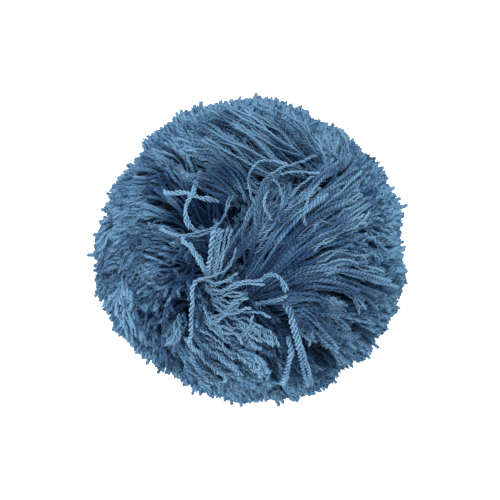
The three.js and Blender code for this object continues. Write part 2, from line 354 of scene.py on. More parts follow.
# Single and paired strands whose two plies show, in the same columns
LOOSE_STRANDS = [LockRow(*row) for row in (
    ("low arc", 1, 0, 0, (
        (2.6, 12, -2), (3, 17, 3), (5, 21.5, 6), (9, 23.6, 8), (15, 24.6, 7), (21, 24, 4),
    ), 0.95),
    ("middle arc", 1, 0, 0, (
        (2, 10, -2), (3, 18, 4), (5, 22.5, 7), (9.5, 25.5, 9), (15, 27.5, 7), (20.5, 29.5, 4),
    ), 0.95),
    ("high arc", 1, 0, 0, (
        (1.5, 14, -2), (0, 18, 3), (-0.3, 22.5, 6), (1.3, 26.5, 8), (5, 28, 8.5), (11, 27, 6),
    ), 0.95),
    ("loop", 1, 0, 0, ((5, 20, 2), (7, 22, 9), (9.6, 19.5, 13), (9.8, 14, 13), (9, 9, 8)), 1.2),
    ("inner loop", 1, 0, 0, (
        (7, 19, 2), (5.3, 17.8, 9), (4.6, 15.5, 11), (5.2, 12.5, 11), (6.6, 9.5, 8),
    ), 1.15),
    ("stray bit", 1, 0, 0, ((20, 18.5, 6), (18, 15.5, 10), (17, 11, 10), (17.3, 8, 8)), 1.15),
    ("cross strand", 2, 0.4, 0.3, (
        (-8, 15.3, -3), (-14, 16, 2), (-19, 17.5, 3), (-23, 17.8, 2.5), (-26.5, 18.3, 1.5),
    ), 1.25),
    ("hook", 2, 0.4, 0.4, (
        (-15.5, 24.5, 1), (-17, 21, 1.5), (-18, 17.5, 4), (-20, 14, 2), (-20.2, 10.5, 0),
        (-18.5, 7, -1), (-15, 5.5, -4),
    ), 1.25),
    ("hollow arc", 2, 0.8, 0.8, (
        (-5, 19, -2), (-7, 15, 2), (-8.3, 11.5, 3), (-10, 8.5, 3), (-13, 6.3, 2.5), (-18, 5, 2),
        (-24, 5.5, 1.5), (-28, 7, 0),
    ), 0.8),
    ("upright", 1, 0, 0, ((-13, -9, -6), (-12.8, -4, 3), (-12.2, 1, 5.5), (-11.2, 6.3, 6)), 1.9),
    ("upright twin", 2, 0.5, 0.9, (
        (-12, -9, -6), (-11.3, -4, 1), (-10.4, 1, 3), (-9.4, 6.5, 3),
    ), 1.15),
    ("upright right", 2, 0.5, 1.0, (
        (-11, -9, -4), (-9.2, -3, 1), (-7.6, 2, 2), (-6.4, 6.5, 1),
    ), 0.95),
    ("up left", 3, 0.5, 0.7, (
        (-13, -8.5, -4), (-15.5, -4, 2.5), (-18.5, 0.5, 4), (-21.4, 3.6, 4),
    ), 1.1),
    ("long twist", 1, 0, 0, (
        (-14.5, -9, -1), (-17.3, -10.3, 3), (-18, -13.5, 4.5), (-18.3, -18, 5), (-18.5, -24, 5),
        (-18.7, -28.8, 4),
    ), 1.7),
    ("crossing", 1, 0, 0, (
        (-16, -9.5, 2), (-12, -8.1, 4), (-8, -6.5, 5), (-5.7, -3.5, 5), (-4.3, 0.5, 3),
    ), 0.8),
    ("spray tip", 2, 0.5, 0.9, ((-14, -12, -4), (-9, -13, 2), (-3, -10.5, 5), (4, -10, 6)), 0.9),
    ("spray top", 4, 1.6, 2.6, (
        (-14, -10.5, -4), (-11, -12, 2), (-7, -10.8, 4), (-2.5, -8.8, 5),
    ), 0.9),
    ("spray middle", 3, 1.5, 2.6, (
        (-13, -12, -4), (-9, -15, 2), (-4, -14.8, 5), (2, -13, 5),
    ), 0.9),
    ("spray low", 3, 1.5, 2.6, (
        (-12, -15, -5), (-9, -18, 2), (-4, -18, 4), (1, -15.5, 5),
    ), 0.95),
    ("cross spray", 2, 1.0, 1.6, (
        (-1, -13, -4), (-3, -16, 3), (-8, -20, 4), (-12, -22, 3),
    ), 0.9),
    ("under spray", 2, 1.5, 2.8, (
        (-11, -17, -5), (-6, -19.5, 1), (0, -20, 3), (5, -22.5, 4),
    ), 0.95),
    ("lower spray", 4, 2.6, 4.2, ((-13, -22, -4), (-9, -25, 2), (-4, -28, 4), (1, -31, 4)), 1.0),
    ("rising tuft", 5, 1.2, 2.4, ((-6, -33, -4), (-3, -30, 2), (0, -26, 4), (3, -21.5, 3)), 0.9),
    ("left tuft", 5, 1.4, 2.2, (
        (-20, -28, -4), (-17, -31, 2), (-13, -35, 4), (-8, -38, 3),
    ), 1.15),
    ("lower brush", 5, 4.0, 6.0, (
        (-16, -27, -4), (-12, -31, 2), (-7, -35, 4), (-2, -40, 3),
    ), 1.2),
    ("upper tuft", 3, 1.0, 2.0, ((-14, -22, -3), (-10, -25, 3), (-5, -26.5, 5)), 1.15),
    ("middle tuft", 3, 1.0, 2.0, ((-6, -25, -3), (-1, -28, 3), (3.5, -32, 4)), 1.1),
    ("lower tuft", 4, 1.0, 2.0, ((-14, -29, -3), (-9, -32, 3), (-3, -36.5, 4)), 1.3),
    ("bottom tuft", 5, 1.2, 2.4, ((-3, -31, -3), (1, -35, 5), (5, -39, 5)), 1.3),
    ("right tuft", 3, 0.8, 1.6, ((2, -24, -3), (6, -27, 3), (8.5, -31, 4)), 1.2),
    ("low left tuft", 4, 1.2, 2.2, ((-20, -33, -3), (-15, -37, 2), (-10, -42, 2)), 1.25),
    ("lower tip", 4, 1.8, 3.0, ((-6, -21, -4), (-1, -24.5, 3), (3, -28, 4), (6, -31, 4))),
    ("short tip", 7, 1.0, 1.8, ((14, -19, -4), (17, -24, 2), (20.5, -29, 2))),
    ("right long", 7, 1.0, 1.6, ((21, -5, -2), (27, -9, 2), (33, -14, 2), (36, -18.5, 1)), 0.85),
    ("right tip", 5, 0.8, 1.2, ((22, -16, -1), (26, -16, 3), (28.5, -16.3, 3))),
    ("band strands", 8, 4.5, 8.0, ((14, 1, -3), (19, 5, 2), (25, 9, 1.5), (37, 15, -1)), 0.85),
    ("band strands low", 7, 2.6, 4.5, (
        (18, -7, -3), (23, -5.4, 2), (29, -4, 1.5), (41, -7, -1),
    ), 0.85),
    ("band bright", 7, 2.0, 3.0, ((0, 0, -3), (5, 5, 3), (13, 13, 3), (22, 21, 2)), 0.85),
    ("vee", 2, 0.4, 0.4, (
        (-14.5, -17.5, -1), (-13, -21.5, 3), (-11.5, -23, 4), (-8, -20.5, 4), (-4.5, -16, 3),
    )),
    ("arch", 2, 0.4, 0.4, ((3, -9.5, -1), (6.5, -7.5, 7), (9.5, -9, 8), (11.5, -12.5, 7)), 1.2),
    ("flat tip", 3, 0.6, 0.5, ((2, -17, -1), (7, -16, 3), (12.5, -14.8, 4))),
    ("hanging right", 2, 0.5, 1.1, (
        (10, -15, -2), (13, -21, 4), (15.5, -31, 6), (18.5, -42, 4),
    ), 1.7),
    ("hanging left", 2, 0.4, 0.8, (
        (12, -27, -2), (12.8, -32, 5), (12, -37, 6.5), (10.5, -42, 5),
    ), 1.7),
)]


class PompomShape(PropertyGroup):
    """Sizes of the ball and of the strands' lie"""

    tip_share: FloatProperty(
        name="Tip share",
        description="Where the tips end on average, as a share of the ball's half width",
        default=0.965, subtype="FACTOR",
    )
    crown_drop: FloatProperty(
        name="Crown drop",
        description="How much shorter the pile is under the crown's locks, as a share",
        default=0.06, subtype="FACTOR",
    )
    centre_height: FloatProperty(
        name="Centre height", description="Height of the ball's middle above the table",
        default=43 * MM, unit="LENGTH",
    )
    heart_offset: FloatVectorProperty(
        name="Heart offset", description="Place of the tied heart, from the ball's middle",
        default=(-4 * MM, -6 * MM, -1 * MM), unit="LENGTH",
    )
    root_radius: FloatProperty(
        name="Root radius", description="Where a strand starts inside the heart", default=6.5 * MM,
        unit="LENGTH",
    )
    fan_power: FloatProperty(
        name="Fan power", description="How late along its length a strand leans over", default=1.5
    )
    flatness: FloatProperty(
        name="Flatness", description="Half height of the ball, as a share of its half width",
        default=0.96, subtype="FACTOR",
    )
    core_share: FloatProperty(
        name="Core share",
        description="Radius of the packed middle of the pile, as a share of the ball's",
        default=0.5, subtype="FACTOR",
    )
    seed: IntProperty(name="Seed", description="Of the strands' unevenness", default=11)


class PompomYarn(PropertyGroup):
    """Sizes of the yarn and numbers of its strands"""

    thickness: FloatProperty(
        name="Yarn thickness", description="Across both plies", default=0.86 * MM, unit="LENGTH"
    )
    ply_pitch: FloatProperty(
        name="Ply pitch", description="Length of one full turn of the two plies", default=2.9 * MM,
        unit="LENGTH",
    )
    strands: IntProperty(
        name="Strands", description="Cut ends spread over the whole ball", default=17600
    )
    tufts: IntProperty(
        name="Tufts", description="Groups that the strands draw together into", default=460
    )
    bunches: IntProperty(
        name="Bunches", description="Smaller groups, of a few strands each", default=4200
    )
    fibres: IntProperty(
        name="Fibres", description="Fine fibres that stand off the strands", default=40000
    )
    wisps: IntProperty(name="Wisps", description="Longer fibres, on the upper side only", default=11000)
    fibre_thickness: FloatProperty(
        name="Fibre thickness", description="Across a fibre that stands off a strand",
        default=0.09 * MM, unit="LENGTH",
    )


class PompomColours(PropertyGroup):
    """Colours of the yarn and of the table"""

    # Painted light: the yarn's colour runs from the deep colour, painted shade, to the lit colour
    lit: FloatVectorProperty(
        name="Lit yarn", description="On the crest of a ply", default=(0.150, 0.318, 0.480),
        subtype="COLOR",
    )
    deep: FloatVectorProperty(
        name="Deep yarn", description="In the groove between two plies, and in the shade",
        default=(0.016, 0.056, 0.170), subtype="COLOR",
    )
    grey: FloatVectorProperty(
        name="Greyed fibre", description="Of the patches where the dye took less",
        default=(0.24, 0.35, 0.49), subtype="COLOR",
    )
    # Painted light: lighter copies of the lit colour, for the strands on top and the single fibres
    crest: FloatVectorProperty(
        name="Loose strand", description="On the crest of a ply of the strands that lie on top",
        default=(0.200, 0.378, 0.545), subtype="COLOR",
    )
    fibre: FloatVectorProperty(
        name="Loose fibre", description="Of single fibres that catch the light",
        default=(0.30, 0.47, 0.63), subtype="COLOR",
    )
    # Painted shade: the packed middle is painted near-black
    core: FloatVectorProperty(
        name="Packed yarn", description="Of the middle, seen between the strands",
        default=(0.007, 0.019, 0.062), subtype="COLOR",
    )
    table: FloatVectorProperty(
        name="Table", description="Of the plain floor", default=(0.93, 0.93, 0.93), subtype="COLOR"
    )


class PompomStage(PropertyGroup):
    """Camera and soft studio light"""

    view_width: FloatProperty(
        name="View width", description="Width of the picture at the height of the ball's middle",
        default=156.75 * MM, unit="LENGTH",
    )
    lens: FloatProperty(name="Lens", description="Focal length, in millimetres", default=200.0)
    key_power: FloatProperty(
        name="Key power", description="Of the large lamp from the upper right", default=5.5,
        unit="POWER",
    )
    fill_power: FloatProperty(
        name="Fill power", description="Of the weaker lamp from the lower left", default=4.2,
        unit="POWER",
    )
    sky: FloatProperty(name="Sky", description="Strength of the even light from all sides", default=0.7)


def unit(vectors):
    return vectors / np.linalg.norm(vectors, axis=-1, keepdims=True)


def dot(a, b):
    return np.sum(a * b, axis=-1)


def half_sizes(shape):
    """Half of the ball's width, depth and height, out to where the tips end."""
    half = np.array((CAD_HIGH - CAD_LOW) / 2) * shape.tip_share
    half[2] = half[:2].mean() * shape.flatness
    return half


def even_directions(count, stray, random):
    """Directions spread evenly over a sphere, each strayed a little."""
    place = np.arange(count) + 0.5
    height = 1 - 2 * place / count
    turn = place * GOLDEN_TURN
    ring = np.sqrt(1 - height**2)
    points = np.stack([ring * np.cos(turn), ring * np.sin(turn), height], axis=-1)
    return unit(points + random.normal(0, stray, points.shape))


Parting = namedtuple("Parting", "axis right up open fade lean lean_to covered")


def make_parting(row, half):
    across = row.x * MM / half[0]
    along = row.y * MM / half[1]
    axis = np.array([across, along, math.sqrt(1 - across**2 - along**2)])
    right = unit(np.array([1.0, 0, 0]) - axis * axis[0])
    angles = np.radians([row.open, row.fade, row.lean, row.lean_to])
    return Parting(axis, right, np.cross(axis, right), *angles, row.covered)


def opening_at(parting, turn):
    """How far the strands are pushed back on the side of a parting that faces turn."""
    return parting.open + parting.lean * np.cos(turn - parting.lean_to)


def place_around(parting, directions):
    """The angle from a parting's axis to each direction, and the side that it lies on."""
    angle = np.arccos(np.clip(directions @ parting.axis, -1, 1))
    turn = np.arctan2(directions @ parting.up, directions @ parting.right)
    return angle, turn


def before_parting(parting, directions, halvings=24):
    """Where strands whose tips lie in these directions come from before a parting."""
    angle, turn = place_around(parting, directions)
    opening = opening_at(parting, turn)
    low, high = np.zeros_like(angle), angle.copy()
    for _ in range(halvings):
        middle = (low + high) / 2
        short = middle + opening * np.exp(-middle / parting.fade) < angle
        low, high = np.where(short, middle, low), np.where(short, high, middle)
    sideways = np.cos(turn)[:, None] * parting.right + np.sin(turn)[:, None] * parting.up
    return np.cos(low)[:, None] * parting.axis + np.sin(low)[:, None] * sideways


class Comb:
    """How the pile is parted and how far it reaches."""

    def __init__(self, shape):
        self.shape = shape
        self.half = half_sizes(shape)
        self.partings = [make_parting(row, self.half) for row in PARTINGS]
        self.heart = np.array(shape.heart_offset)

    def roots(self, tips):
        for parting in reversed(self.partings):
            tips = before_parting(parting, tips)
        return tips

    def is_open(self, tips, covered):
        """Which directions lie inside a parting that is covered by locks, or that isn't."""
        found = np.zeros(len(tips), bool)
        for parting in self.partings:
            angle, turn = place_around(parting, tips)
            found |= (angle < opening_at(parting, turn)) & (parting.covered == covered)
        return found

    def reach(self, tips, share):
        """How far strands go from the ball's middle, shorter where the table stops them."""
        ball = share / np.linalg.norm(tips / self.half, axis=-1)
        down = np.maximum(-tips[:, 2], TINY)
        return np.minimum(ball, (self.shape.centre_height - TABLE_GAP) / down)

    def paths(self, tips, roots, share, along):
        """The strands' middle lines, at the given shares of their length."""
        lean = along**self.shape.fan_power
        ways = unit(roots[:, None] + (tips - roots)[:, None] * lean[:, None])
        first = self.shape.root_radius
        length = first + (self.reach(tips, share)[:, None] - first) * along
        points = ways * length[..., None] + self.heart * (1 - along)[:, None]
        points[..., 2] += self.shape.centre_height
        return points


def swept(paths, along, centre, leans):
    """Bends the strands' tips over, each way and as far as the sweeps near them say, and keeps
    every point as far from the ball's middle as it was."""
    middle = np.array([0, 0, centre])
    tips = paths[:, -1]
    push = leans.copy()
    for row in SWEEPS:
        away = np.linalg.norm(tips[:, :2] - np.array([row.x, row.y]) * MM, axis=1)
        strength = row.bend * np.exp(-((away / (row.reach * MM)) ** 2))
        way = math.radians(row.way)
        push += strength[:, None] * np.array([math.cos(way), math.sin(way)])
    high = np.clip((tips[:, 2] - centre) / SWEEP_FADE + 0.5, 0, 1)
    bend = SWEEP_LENGTH * np.clip((along - SWEEP_START) / (1 - SWEEP_START), 0, 1) ** 2
    moved = paths.copy()
    moved[..., :2] += (push * high[:, None])[:, None] * bend[..., None]
    was = np.linalg.norm(paths - middle, axis=-1, keepdims=True)
    return middle + unit(moved - middle) * was


def in_pit(paths):
    """Which strands would lie over a pit. The camera's view of the plan is near enough."""
    outward = outward_share(paths)
    found = np.zeros(len(paths), bool)
    for row in PITS:
        away = paths[..., :2] - np.array([row.x, row.y]) * MM
        way = math.radians(row.way)
        along = away[..., 0] * math.cos(way) + away[..., 1] * math.sin(way)
        across = away[..., 1] * math.cos(way) - away[..., 0] * math.sin(way)
        inside = (along / (row.long * MM)) ** 2 + (across / (row.wide * MM)) ** 2 < 1
        found |= (inside & (outward > row.depth)).any(axis=1)
    return found & (paths[:, -1, 2] > bpy.context.scene.pompom_shape.centre_height)


def lobe_share(tips):
    """How far the outline's lobes stand out at the tips of strands."""
    turn = np.degrees(np.arctan2(tips[:, 1], tips[:, 0]))
    share = np.zeros(len(tips))
    for row in LOBES:
        away = (turn - row.way + 180) % 360 - 180
        share += row.size * np.exp(-((away / row.reach) ** 2))
    return share * np.exp(-((tips[:, 2] / LOBE_HEIGHT) ** 2))


def lobed(paths, along, centre):
    """Lets the strands reach further, or less far, where the outline has its lobes."""
    middle = np.array([0, 0, centre])
    share = lobe_share(unit(paths[:, -1] - middle))
    return middle + (paths - middle) * (1 + share[:, None] * along)[..., None]


def gathered(paths, groups, count, pull, along):
    """Draws the strands of each group together, more towards their tips."""
    sums = np.zeros((count,) + paths.shape[1:])
    np.add.at(sums, groups, paths)
    sizes = np.maximum(np.bincount(groups, minlength=count), 1)
    middles = sums / sizes[:, None, None]
    strength = pull[groups][:, None] * along**GATHER_POWER
    return paths + (middles[groups] - paths) * strength[..., None]


def nearest(directions, centres):
    """The centre that each direction lies closest to."""
    found = [np.argmax(part @ centres.T, axis=1) for part in np.array_split(directions, 16)]
    return np.concatenate(found)


def wobbled(paths, size, random):
    """Bends each strand to and fro a little, as yarn that was wound keeps its kinks."""
    count, steps = paths.shape[:2]
    place = np.linspace(0, 1, steps)
    for waves in WOBBLE_WAVES:
        sway = random.normal(0, size / waves, (count, 1, 3))
        phase = random.uniform(0, FULL_TURN, (count, 1))
        rate = random.uniform(0.8, 1.2, (count, 1)) * waves * FULL_TURN
        paths = paths + sway * (np.sin(rate * place + phase) * place)[..., None]
    return paths


def frames_along(paths):
    """Two directions square to each path at each of its points, turning as little as can be."""
    tangents = unit(np.gradient(paths, axis=1))
    side = np.cross(tangents[:, 0], SKEW)
    sides = []
    for step in range(paths.shape[1]):
        tangent = tangents[:, step]
        side = unit(side - tangent * dot(side, tangent)[:, None])
        sides.append(side)
    sides = np.stack(sides, axis=1)
    return sides, np.cross(tangents, sides)


def lengths_along(paths):
    steps = np.linalg.norm(np.diff(paths, axis=1), axis=-1)
    return np.concatenate([np.zeros((len(paths), 1)), np.cumsum(steps, axis=1)], axis=1)


def picked(paths, places, wanted):
    """The points of paths at the wanted places, from the places that their points have."""
    made = np.empty((len(paths), wanted.shape[1], 3))
    for row, path in enumerate(paths):
        for axis in range(3):
            made[row, :, axis] = np.interp(wanted[row], places[row], path[:, axis])
    return made


def resampled(paths, count):
    """The same paths with evenly spaced points."""
    along = lengths_along(paths)
    return picked(paths, along, np.linspace(0, 1, count) * along[:, -1:])


def tube_pattern(rings, sides):
    """One tube's faces, closed at both ends: the corners' points, the faces' first corners,
    and for each corner the ring that it lies on and its share of the way round."""
    corners, starts, ring_of, around = [], [], [], []

    def add_face(points, rows, turns):
        starts.append(len(corners))
        corners.extend(points)
        ring_of.extend(rows)
        around.extend(turns)

    for ring in range(rings - 1):
        for side in range(sides):
            here, there = ring * sides + side, ring * sides + (side + 1) % sides
            turns = np.array([side, side + 1, side + 1, side]) / sides
            add_face([here, there, there + sides, here + sides], [ring] * 2 + [ring + 1] * 2, turns)
    last = (rings - 1) * sides
    for side in range(sides):
        turns = np.array([side, side + 1, side + 0.5]) / sides
        points = [last + side, last + (side + 1) % sides, rings * sides + side]
        add_face(points, [rings - 1, rings - 1, rings], turns)
    front = np.arange(sides)
    add_face(last + front, [rings - 1] * sides, front / sides)
    add_face(front[::-1], [0] * sides, front[::-1] / sides)
    return [np.array(part) for part in (corners, starts, ring_of, around)]


def add_uv(mesh, name, u, v):
    layer = mesh.uv_layers.new(name=name)
    layer.uv.foreach_set("vector", np.stack([u, v], axis=-1).astype(np.float32).ravel())


def add_number(mesh, name, values):
    attribute = mesh.attributes.new(name, "FLOAT", "POINT")
    attribute.data.foreach_set("value", values.astype(np.float32).ravel())


def round_about(side, square, turns):
    """Directions round a strand at the given turns, from the two directions square to it."""
    return np.cos(turns)[:, None] * side + np.sin(turns)[:, None] * square


def joined_mesh(name, points, corners, starts):
    """One mesh of many like pieces: points for each, and the faces that each of them has."""
    count, per_piece = points.shape[:2]
    points[..., 2] = np.maximum(points[..., 2], 0)
    offsets = np.arange(count)[:, None]
    mesh = bpy.data.meshes.new(name)
    mesh.vertices.add(count * per_piece)
    mesh.vertices.foreach_set("co", points.astype(np.float32).ravel())
    mesh.loops.add(count * len(corners))
    mesh.loops.foreach_set("vertex_index", (corners + offsets * per_piece).ravel())
    mesh.polygons.add(count * len(starts))
    mesh.polygons.foreach_set("loop_start", (starts + offsets * len(corners)).ravel())
    mesh.update(calc_edges=True)
    mesh.shade_smooth()
    return mesh


def add_bake_map(mesh, count, around, along):
    """The map OFBake, in which the pieces lie side by side in rows, none over another."""
    side_gap, end_gap = 0.08, 0.03
    offsets = np.arange(count)[:, None]
    columns = math.ceil(math.sqrt(count * 3))
    rows = math.ceil(count / columns)
    across = (offsets % columns + side_gap + (1 - 2 * side_gap) * around) / columns
    up = (offsets // columns + end_gap + (1 - 2 * end_gap) * along) / rows
    add_uv(mesh, "OFBake", across.ravel(), up.ravel())


def outward_share(points):
    """How near to the ball's surface points lie: 0 deep in the pile, 1 at the tips, more above."""
    shape = bpy.context.scene.pompom_shape
    middle = np.array([0, 0, shape.centre_height])
    out = np.linalg.norm((points - middle) / half_sizes(shape), axis=-1)
    return np.maximum((out - shape.core_share) / (SURFACE - shape.core_share), 0)


def painted_light(points, shading=1.0):
    """Painted light of the yarn at points: painted darker deep in the pile, and painted lighter or
    darker by the painted shades on the upper side. A dark painted shade spares the strands on top."""
    outward = (outward_share(points) - LIGHT_FROM) / (1 - LIGHT_FROM)
    share = np.clip(outward, 0, LIGHTEST) ** DEPTH_POWER
    high = np.clip(points[..., 2] / bpy.context.scene.pompom_shape.centre_height - 0.5, 0, 1)
    buried = np.clip(1 + SPARED_FROM - share, SPARED_LEAST, 1)
    for row in PAINTED_SHADES:
        away = np.linalg.norm(points[..., :2] - np.array([row.x, row.y]) * MM, axis=-1)
        change = row.change * shading * high * np.exp(-((away / (row.reach * MM)) ** 2))
        share *= np.maximum(1 + change * (buried if row.change < 0 else 1), 0)
    return np.maximum(share, 0)


def tube_mesh(name, paths, radii, pitch, tones, middles=None):
    """A joined mesh of closed tubes along paths. Its map Strand holds the turn round a strand
    and the plies' turns along it, and each point holds its painted light. Where the paths are
    plies that are twisted round middles, they are painted dark in the crease between them, as
    painted shade, and painted lighter on their crests, as a painted highlight."""
    count, rings = paths.shape[:2]
    sides = STRAND_SIDES
    shift = 7  # turns by which the twist of the lightest strand is ahead of the darkest one's
    side, square = frames_along(paths)
    turns = np.arange(sides) * FULL_TURN / sides
    circle = round_about(side[:, :, None], square[:, :, None], turns)
    walls = paths[:, :, None] + circle * radii[..., None, None]
    between = round_about(side[:, -1, None], square[:, -1, None], turns + math.pi / sides)
    onward = unit(paths[:, -1] - paths[:, -2])[:, None]
    tip = radii[:, -1, None, None]
    fray = np.resize(FRAY_REACH, (count, sides, 1)) * tip
    ends = paths[:, -1, None] + between * tip * FRAY_SPLAY + onward * fray
    points = np.concatenate([walls.reshape(count, -1, 3), ends], axis=1)
    corners, starts, ring_of, around = tube_pattern(rings, sides)
    mesh = joined_mesh(name, points, corners, starts)
    length = lengths_along(paths)
    length = np.concatenate([length, length[:, -1:]], axis=1)
    turned = length[:, ring_of] / pitch + tones[:, None] * shift
    add_uv(mesh, "Strand", np.tile(around, count), turned.ravel())
    add_bake_map(mesh, count, around, ring_of / rings)
    add_number(mesh, "tone", np.repeat(tones, points.shape[1]))
    # Painted light: darker deep in the pile, and lighter or darker under the painted shades
    light = painted_light(points, 1.0 if middles is None else LOOSE_PAINTED_SHADING)
    # Painted shade in the crease between the plies, and a painted highlight on their crests
    if middles is not None:
        away = np.linalg.norm(walls - middles[:, :, None], axis=-1)
        crest = np.clip(away / away.max() * 1.5 - 0.5, 0, 1)
        light[:, : rings * sides] *= (PAINTED_CREASE_SHADE + (PAINTED_CREST_LIGHT - PAINTED_CREASE_SHADE) * crest).reshape(count, -1)
    add_number(mesh, "painted_light", light.ravel())
    return mesh


def needle_mesh(name, roots, ends, thickness, tones):
    """A joined mesh of thin pointed fibres, each a three-sided needle."""
    count = len(roots)
    onward = unit(ends - roots)
    side = unit(np.cross(onward, SKEW))
    turns = np.arange(3) * FULL_TURN / 3
    base = round_about(side[:, None], np.cross(onward, side)[:, None], turns)
    points = np.concatenate([roots[:, None] + base * thickness / 2, ends[:, None]], axis=1)
    corners = np.array([0, 1, 3, 1, 2, 3, 2, 0, 3, 2, 1, 0])
    mesh = joined_mesh(name, points, corners, np.arange(4) * 3)
    around = np.array([0, 0.33, 0.16, 0.33, 0.66, 0.5, 0.66, 1, 0.83, 0.4, 0.6, 0.5])
    along = np.array([0.1, 0.1, 1, 0.1, 0.1, 1, 0.1, 0.1, 1, 0, 0, 0.08])
    add_uv(mesh, "Strand", np.tile(around, count), np.tile(along, count))
    add_bake_map(mesh, count, around, along)
    add_number(mesh, "tone", np.repeat(tones, 4))
    # Painted light, as on the strands
    add_number(mesh, "painted_light", painted_light(points).ravel())
    return mesh


def dress(piece, material):
    """Gives a piece of the pompom its material and its place in the part."""
    piece.data.materials.append(material)
    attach(piece, BODY)
    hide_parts(NODE)


def add_piece(mesh, material):
    """Links a mesh as a piece of the pompom."""
    piece = bpy.data.objects.new(mesh.name, mesh)
    bpy.context.scene.collection.objects.link(piece)
    dress(piece, material)


class Shading:
    """A material being drawn up: adds nodes and joins them."""

    def __init__(self, name):
        self.material = bpy.data.materials.new(name)
        self.material.use_nodes = True
        self.tree = self.material.node_tree
        self.shader = self.tree.nodes["Principled BSDF"]

    def join(self, value, socket):
        """Links a node's output to a socket, or sets the socket's own value."""
        if isinstance(value, bpy.types.NodeSocket):
            self.tree.links.new(value, socket)
        else:
            socket.default_value = value

    def add(self, kind, output=0, settings=None, **inputs):
        """Adds a node. An input is given by its name, or as i and its number."""
        node = self.tree.nodes.new(kind)
        for key, value in (settings or {}).items():
            setattr(node, key, value)
        for key, value in inputs.items():
            name = int(key[1:]) if key[1:].isdigit() else key
            self.join(value, node.inputs[name])
        return node.outputs[output]

    def maths(self, operation, first, second=0.0, third=0.0):
        settings = {"operation": operation}
        return self.add("ShaderNodeMath", 0, settings, i0=first, i1=second, i2=third)

    def product(self, *values):
        result = values[0]
        for value in values[1:]:
            result = self.maths("MULTIPLY", result, value)
        return result

    def line(self, value, slope):
        return self.maths("MULTIPLY_ADD", value, *slope)

    def attribute(self, name):
        return self.add("ShaderNodeAttribute", 2, {"attribute_name": name})

    def mixed(self, share, first, second):
        """One colour blended into another."""
        node = self.tree.nodes.new("ShaderNodeMix")
        node.data_type = "RGBA"
        self.join(share, node.inputs[0])
        for colour, socket in ((first, node.inputs[6]), (second, node.inputs[7])):
            plain = not isinstance(colour, bpy.types.NodeSocket)
            self.join((*colour, 1) if plain else colour, socket)
        return node.outputs[2]

    def noise(self, place, scale, detail=2.0):
        return self.add("ShaderNodeTexNoise", 0, Vector=place, Scale=scale, Detail=detail)

    def finish(self, colour, bump, roughness, sheen):
        self.tree.links.new(colour, self.shader.inputs["Base Color"])
        self.tree.links.new(bump, self.shader.inputs["Normal"])
        values = {
            "Roughness": roughness,
            "Specular IOR Level": 0.1,
            "Sheen Weight": sheen,
            "Sheen Roughness": 0.5,
            "Sheen Tint": (0.33, 0.62, 1.0, 1),
        }
        for name, value in values.items():
            self.shader.inputs[name].default_value = value
        return self.material


Slope = namedtuple("Slope", "times plus")

# How light a strand is by its own tone, by its fibres and by the patches in the dye
TONE_LIGHT = Slope(0.9, 0.4)
FIBRE_LIGHT = Slope(0.8, 0.55)
PATCH_LIGHT = Slope(3.6, -0.8)
SHADE_LIGHT = Slope(TONE_IN_SHADE, 0.12 - TONE_IN_SHADE / 2)
SHADOW_TONE = Slope(3.2, -0.1)
GREYED_FROM, GREYED_RISE, GREYED_MOST = 0.56, 4.0, 0.35
STREAKS_AROUND, STREAKS_ALONG, STREAKS_APART = 3.5, 1.5, 90.0
PATCHES, LUMPS = 70.0, 420.0  # to a metre


def yarn_material(name, colours, plies, lit=None):
    """Two-ply yarn whose colour holds painted light: it runs from a painted-shade colour to the lit
    colour by the painted light that the mesh holds, by its tone and by the dye's patches. plies
    gives how deep the grooves are bumped and painted dark, as painted shade.
    """
    draw = Shading(name)
    strand = draw.add("ShaderNodeUVMap", 0, {"uv_map": "Strand"})
    around, along = draw.add("ShaderNodeSeparateXYZ", i0=strand).node.outputs[:2]
    tone, painted_lit = draw.attribute("tone"), draw.attribute("painted_light")
    place = draw.add("ShaderNodeTexCoord", 3)
    turn = draw.maths("ADD", around, along)
    wave = draw.maths("COSINE", draw.product(turn, 2 * FULL_TURN))
    crest = draw.line(wave, Slope(0.5, 0.5))
    streak = draw.add(
        "ShaderNodeCombineXYZ",
        i0=draw.product(turn, STREAKS_AROUND),
        i1=draw.product(along, STREAKS_ALONG),
        i2=draw.product(tone, STREAKS_APART),
    )
    fibre = draw.noise(streak, 1.0, 3.0)
    patch = draw.noise(place, PATCHES)
    # Painted shade in the grooves between the plies
    groove = draw.line(crest, Slope(plies, 1 - plies))
    bright = draw.maths("MAXIMUM", draw.line(tone, SHADE_LIGHT), 0.0)
    light = draw.product(
        groove,
        draw.line(tone, TONE_LIGHT),
        draw.line(fibre, FIBRE_LIGHT),
        draw.maths("ADD", painted_lit, bright),
        draw.line(patch, PATCH_LIGHT),
    )
    # Painted shade: where little light is painted, the deep colour, darker in the grooves and on
    # low-toned strands
    turned_away = tuple(DARK_SHARE * part for part in colours.deep)
    hint = draw.product(groove, fibre, draw.line(tone, SHADOW_TONE))
    shadow = draw.mixed(hint, turned_away, colours.deep)
    colour = draw.mixed(draw.maths("MINIMUM", light, 1.0), shadow, lit or colours.lit)
    greyed = draw.product(draw.maths("SUBTRACT", patch, GREYED_FROM), GREYED_RISE)
    greyed = draw.maths("MINIMUM", draw.maths("MAXIMUM", greyed, 0.0), 1.0)
    colour = draw.mixed(draw.product(greyed, light, GREYED_MOST), colour, colours.grey)
    height = draw.line(crest, (plies, draw.product(fibre, 0.3)))
    bump = draw.add("ShaderNodeBump", 0, Height=height, Distance=0.25 * MM, Strength=0.6)
    return draw.finish(colour, bump, 0.85, 0.3)


def painted_shade_core_material(colours):
    """Yarn packed so close that only its dark side shows: its near-black colour is painted shade."""
    draw = Shading("packed_yarn")
    place = draw.add("ShaderNodeTexCoord", 3)
    lumps = draw.noise(place, LUMPS, 4.0)
    colour = draw.mixed(lumps, colours.core, tuple(2 * part for part in colours.core))
    bump = draw.add("ShaderNodeBump", 0, Height=lumps, Distance=1.0 * MM, Strength=0.9)
    return draw.finish(colour, bump, 0.95, 0.1)


